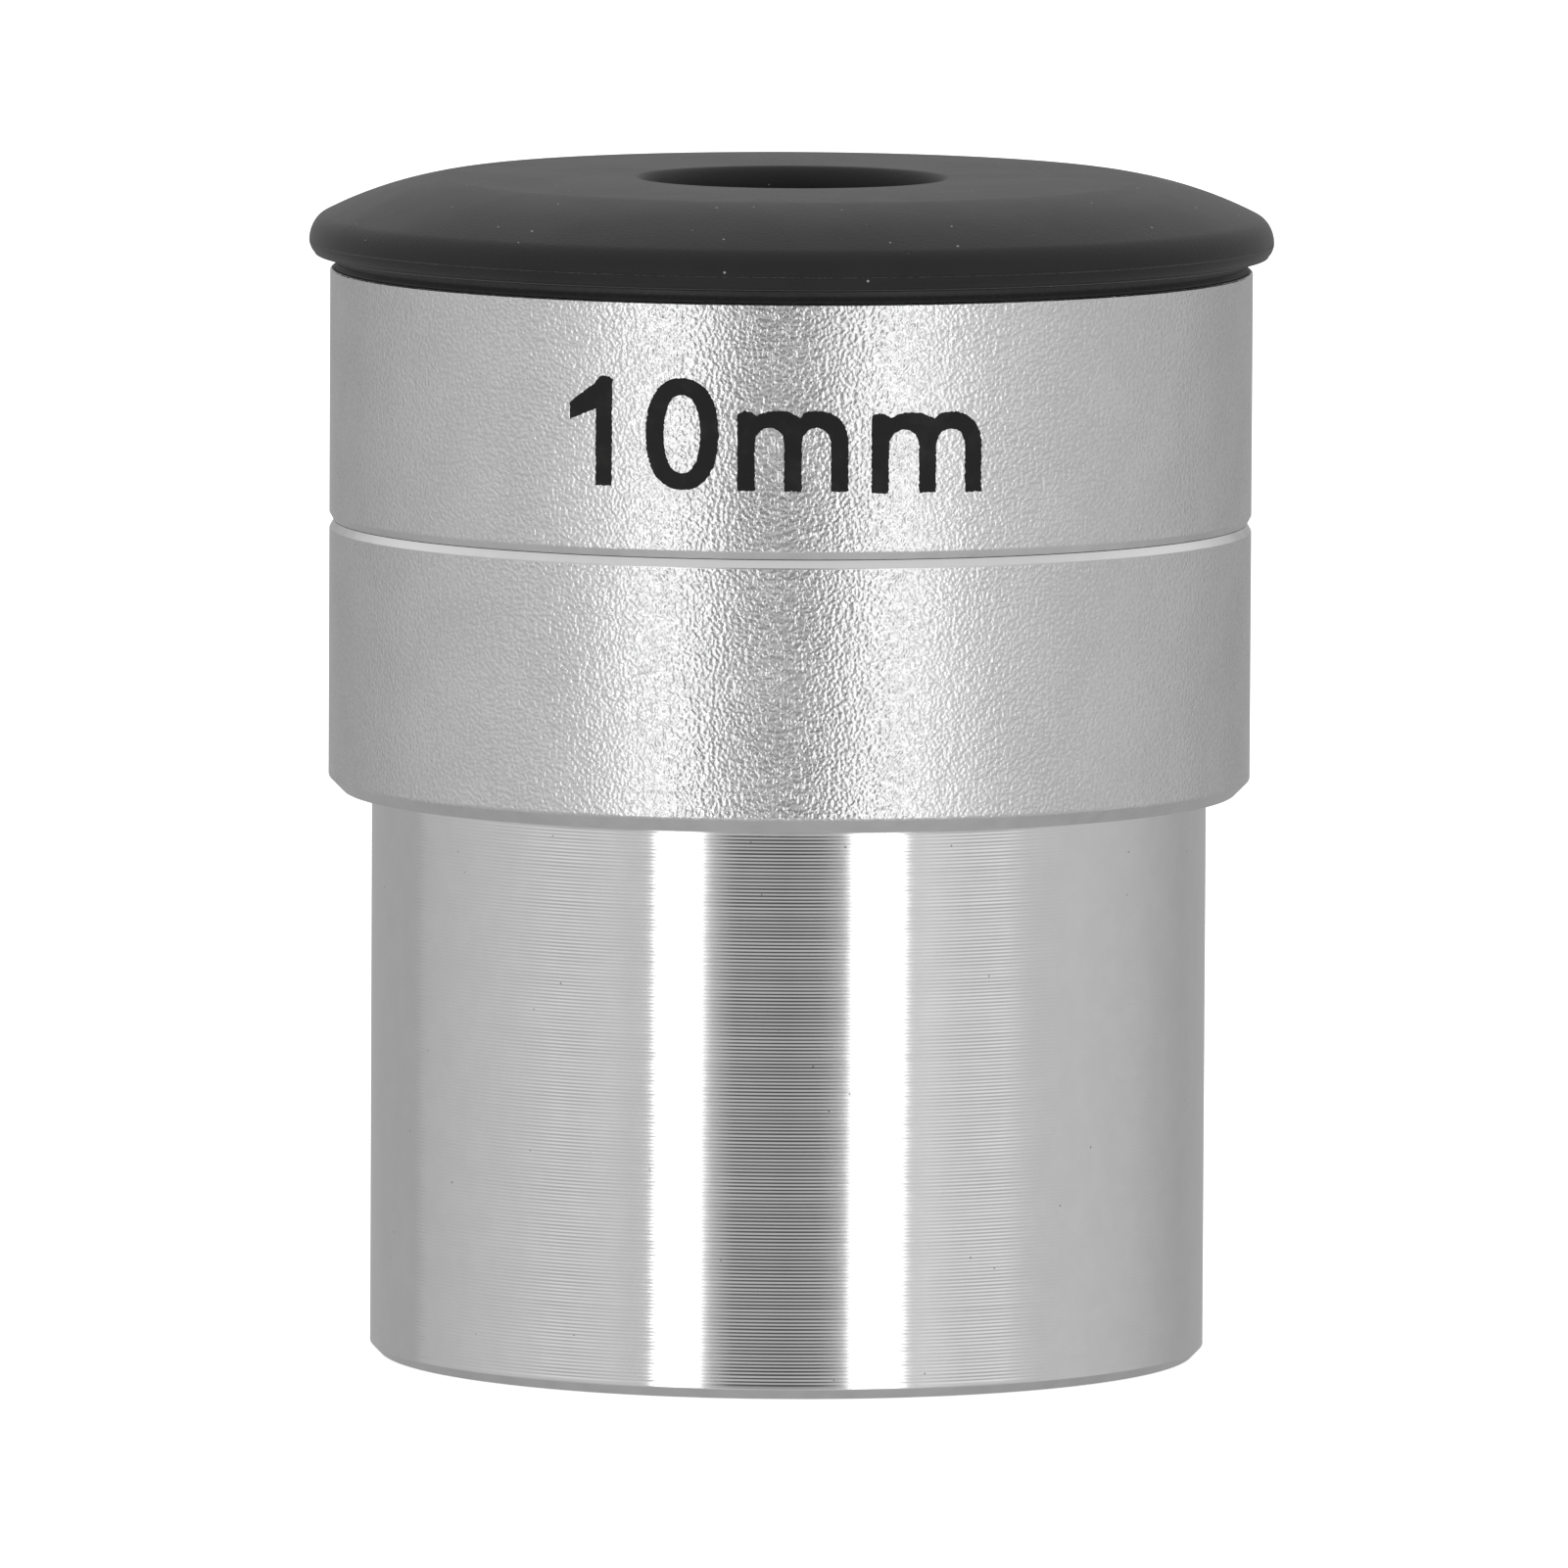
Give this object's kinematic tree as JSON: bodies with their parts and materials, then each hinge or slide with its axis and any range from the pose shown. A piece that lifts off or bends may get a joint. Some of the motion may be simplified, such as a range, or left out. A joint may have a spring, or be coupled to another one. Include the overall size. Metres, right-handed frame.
{
  "type": "telescope eyepiece",
  "caption": "Telescope eyepiece: a turned metal barrel that slides into a focuser, a satin housing with a seam, a lens pack inside and a black rubber eyecup with a central eye hole.",
  "frame": {"origin": "centre of the barrel's open rim, which the eyepiece stands on", "axes": "+Z along the optical axis, from the barrel's open rim to the eyecup; -Y is the side that carries the focal length marking"},
  "size_m": [0.0366, 0.0366, 0.0448],
  "materials": {
    "turned_aluminium": "bright, fine-turned, with visible circular tool lines",
    "satin_aluminium": "sandblasted and clear anodised, satin",
    "black_anodised": "matt black anodised",
    "rubber": "matt black, moulded",
    "glass": "polished, anti-reflection coated"
  },
  "bodies": {
    "barrel": {"barrel": "turned_aluminium", "field_stop_disc": "black_anodised", "field_stop_ring": "black_anodised"},
    "lens_pack": {"lens_cell": "black_anodised", "eye_lens_flint": "glass", "eye_lens_crown": "glass", "lens_spacer": "black_anodised", "field_lens_crown": "glass", "field_lens_flint": "glass", "cell_lock_ring": "black_anodised"},
    "housing": {"lower_body": "satin_aluminium", "upper_body": "satin_aluminium", "pack_lock_ring": "black_anodised", "eye_end_ring": "black_anodised"},
    "eyecup": {"eyecup": "rubber"}
  },
  "joints": [
    {"name": "housing_rise", "type": "slide", "parent": "barrel", "child": "lens_pack", "axis": [0, 0, 1], "range_m": [0, 0.0045]},
    {"name": "housing_unscrew", "type": "hinge", "parent": "lens_pack", "child": "housing", "pos_m": [0, 0, 0.02146], "axis": [0, 0, 1], "range_deg": [0, 2160]},
    {"name": "eyecup_pull", "type": "slide", "parent": "housing", "child": "eyecup", "axis": [0, 0, 1], "range_m": [0, 0.008]}
  ],
  "couplings": [
    {"joint": "housing_rise", "follows": "housing_unscrew", "m_per_rad": 0.00011936}
  ]
}
